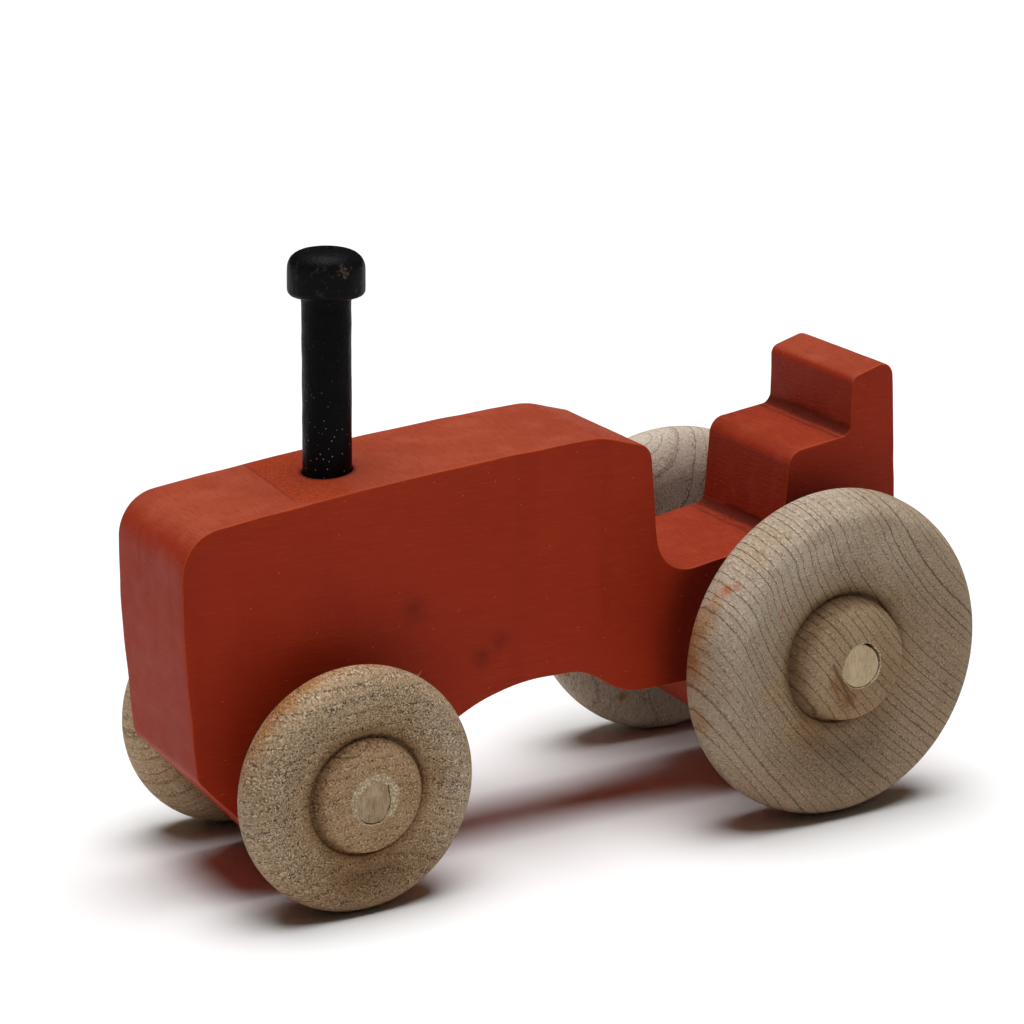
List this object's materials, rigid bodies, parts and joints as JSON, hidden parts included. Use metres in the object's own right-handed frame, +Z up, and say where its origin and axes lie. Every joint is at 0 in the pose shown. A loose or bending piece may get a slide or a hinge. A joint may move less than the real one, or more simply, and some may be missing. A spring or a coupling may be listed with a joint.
{
  "type": "toy tractor",
  "caption": "Wooden toy tractor: a painted sawn board with hood, footwell and seat, a peg smokestack, and turned wheels on dowel axles that roll.",
  "frame": {"origin": "on the ground under the middle of the toy's bounding box", "axes": "+X to the front (the hood's end), +Y to the tractor's left side, +Z up"},
  "size_m": [0.1596, 0.0738, 0.1134],
  "materials": {
    "red_paint": "brushed paint, satin matt",
    "black_paint": "brushed paint, satin",
    "maple": "bare sanded wood",
    "dowel_wood": "bare cut end grain"
  },
  "bodies": {
    "chassis": {"body": "red_paint", "smokestack": "black_paint"},
    "front_wheelset": {"front_axle": "dowel_wood", "front_wheel_left": "maple", "front_wheel_right": "maple"},
    "rear_wheelset": {"rear_axle": "dowel_wood", "rear_wheel_left": "maple", "rear_wheel_right": "maple"}
  },
  "joints": [
    {"name": "front_wheels_roll", "type": "hinge", "parent": "chassis", "child": "front_wheelset", "pos_m": [0.05235, 0, 0.02225], "axis": [0, 1, 0], "continuous": true},
    {"name": "rear_wheels_roll", "type": "hinge", "parent": "chassis", "child": "rear_wheelset", "pos_m": [-0.04804, 0, 0.03175], "axis": [0, 1, 0], "continuous": true}
  ]
}
